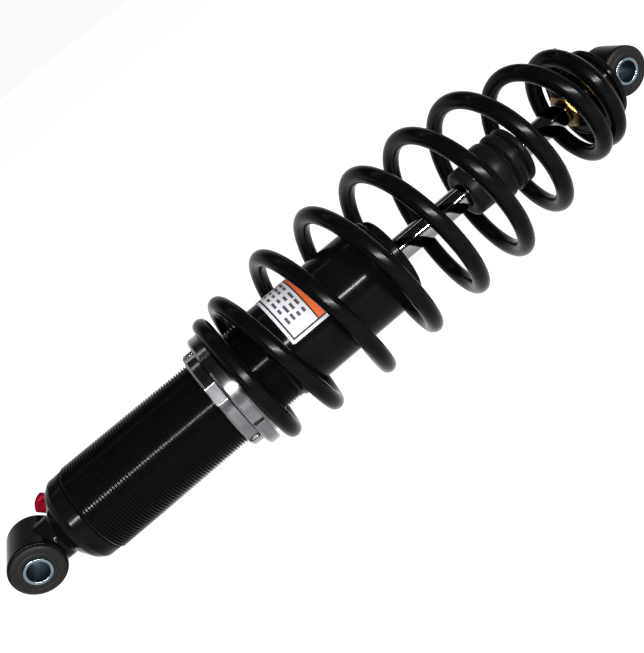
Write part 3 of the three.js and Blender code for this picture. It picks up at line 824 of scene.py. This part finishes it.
def rod_eye():
    shank = lathe("shank_skin", rounded([
        (337.6, 0), (337.6, 8.9), (342.0, 8.9), (342.0, 14.0), (348.2, 14.0), (350.2, 11.0), (350.2, 0)],
        [0, 0.5, 0.3, 0.6, 1.2, 0.5, 0], 4), 128)
    eye = eye_skin("rod_eye_skin", ROD_EYE_R, ROD_EYE_HALF, EYE_X)
    neck = block("neck_skin", (346, 364), (-8.9, 8.9), (-10, 10))
    body = merged_casting("rod_eye_body", [shank, neck, eye], voxel=0.40)
    boolean(body, eye_bore(EYE_X))
    boolean(body, lathe("socket_tool", [(330, 0), (330, 5.2), (345.6, 5.2), (345.6, 0)], 64))
    shade(body, 40)
    return place(body, BLACK_GLOSS, "shaft", "black_anodised", "upper_eye")


# ------------------------------------------------------------------ carried-over inner pieces
INNER = {
    "end_cap_o_ring": RUBBER, "floating_piston": ALLOY, "floating_piston_o_ring": RUBBER,
    "floating_piston_band": SEAL, "seal_head": ALLOY, "seal_head_o_ring": RUBBER, "guide_bush": BRONZE,
    "rod_seal": SEAL, "retaining_ring": ZINC, "piston_nut": ZINC, "compression_shims": ZINC, "piston": ALLOY,
    "piston_band": SEAL, "rebound_shims": ZINC, "backing_washer": ZINC, "top_out_bumper": RUBBER,
}


def inner_pieces():
    for node, mat in INNER.items():
        obj = frame["nodes"][node]
        if not obj.material_slots:
            obj.data.materials.append(mat)
        for slot in obj.material_slots:
            slot.material = mat


# ------------------------------------------------------------------ stage
def stage():
    """A pale floor with a little glow of its own, as on a lit white table."""
    z = CAD_BOX[0][2] - 0.0006
    half = 9.0
    corners = [(-half, -half, z), (half, -half, z), (half, half, z), (-half, half, z)]
    floor = new_object("floor_sheet", corners, [(0, 1, 2, 3)], 0)
    mat, nodes, links, bsdf, xyz = material("pale_floor")
    grain = noise(nodes, links, xyz, 60, 3)
    links.new(ramp(nodes, links, grain, [(0.3, grey(0.14)), (0.7, grey(0.155))]), bsdf.inputs["Base Color"])
    bsdf.inputs["Roughness"].default_value = 0.6
    bsdf.inputs["Specular IOR Level"].default_value = 0.1
    bsdf.inputs["Emission Color"].default_value = (1, 1, 1, 1)
    bsdf.inputs["Emission Strength"].default_value = 0.90
    floor.data.materials.append(mat)


def world():
    """A dark room with a pale wall low down, taller behind the object than in front of it."""
    w = bpy.data.worlds.new("studio")
    bpy.context.scene.world = w
    w.use_nodes = True
    nodes, links = w.node_tree.nodes, w.node_tree.links
    nodes.clear()
    out = nodes.new("ShaderNodeOutputWorld")
    back = nodes.new("ShaderNodeBackground")
    links.new(back.outputs[0], out.inputs[0])
    coords = nodes.new("ShaderNodeTexCoord")
    split = nodes.new("ShaderNodeSeparateXYZ")
    links.new(coords.outputs["Generated"], split.inputs[0])
    depth, height = split.outputs[1], split.outputs[2]
    low = remap(nodes, links, height, 0.30, 0.62, 1.0, 0.0)
    low_front = remap(nodes, links, height, 0.04, 0.22, 1.0, 0.0)
    behind = remap(nodes, links, depth, -0.25, 0.25, 0.0, 1.0)
    m = partial(maths, nodes, links)
    both = m("ADD", m("MULTIPLY", low, behind), m("MULTIPLY", low_front, m("SUBTRACT", 1.0, behind)))
    links.new(ramp(nodes, links, both, [(0.0, grey(0.045)), (1.0, grey(0.95))]), back.inputs["Color"])
    back.inputs["Strength"].default_value = 1.0


def strip_light(name, at, target, length, width, power):
    """Long thin area light, its length along X, aimed at target."""
    data = bpy.data.lights.new(name, "AREA")
    data.shape, data.size, data.size_y = "RECTANGLE", length, width
    data.energy = power
    obj = bpy.data.objects.new(name, data)
    bpy.context.scene.collection.objects.link(obj)
    z = (Vector(at) - Vector(target)).normalized()
    y = z.cross(Vector((1, 0, 0))).normalized()
    x = y.cross(z).normalized()
    obj.matrix_world = Matrix.Translation(at) @ Matrix((x, y, z)).transposed().to_4x4()


def lights():
    middle = (0.18, 0, 0)
    strip_light("front_strip", (0.16, -1.00, 0.56), middle, 1.6, 0.035, 100)
    strip_light("back_strip", (0.18, 0.50, 1.02), middle, 1.4, 0.05, 1)


def camera():
    """Close camera above the shock's side, rolled so that the shock rises from lower left to upper right."""
    at = (0.131458, -0.355129, 0.168954)
    forward, up = Vector((0.094834, 0.894188, -0.437532)), Vector((0.640982, 0.281433, 0.714099))
    data = bpy.data.cameras.new("view")
    obj = bpy.data.objects.new("view", data)
    bpy.context.scene.collection.objects.link(obj)
    data.sensor_width, data.sensor_fit = 36.0, "AUTO"
    data.lens = 45.2828
    data.clip_start = 0.01
    right = forward.cross(up).normalized()
    up = right.cross(forward).normalized()
    obj.matrix_world = Matrix.Translation(at) @ Matrix((right, up, -forward)).transposed().to_4x4()
    bpy.context.scene.camera = obj


camera()
world()
lights()
stage()
end_cap()
bushing("body_eye_rubber", 0.0, BODY_EYE_HALF, "damper_body", "lower_bushing")
sleeve("body_eye_sleeve", 0.0, BODY_EYE_HALF, "lower_eye_sleeve", "lower_sleeve")
gas_valve()
damper_tube()
label()
seal_head_parts()
rings()
coil_spring()
shaft()
rod_eye()
bushing("rod_eye_rubber", EYE_X, ROD_EYE_HALF, "shaft", "upper_bushing")
sleeve("rod_eye_sleeve", EYE_X, ROD_EYE_HALF, "upper_eye_sleeve", "upper_sleeve")
inner_pieces()
bpy.context.scene.view_settings.view_transform = "Standard"
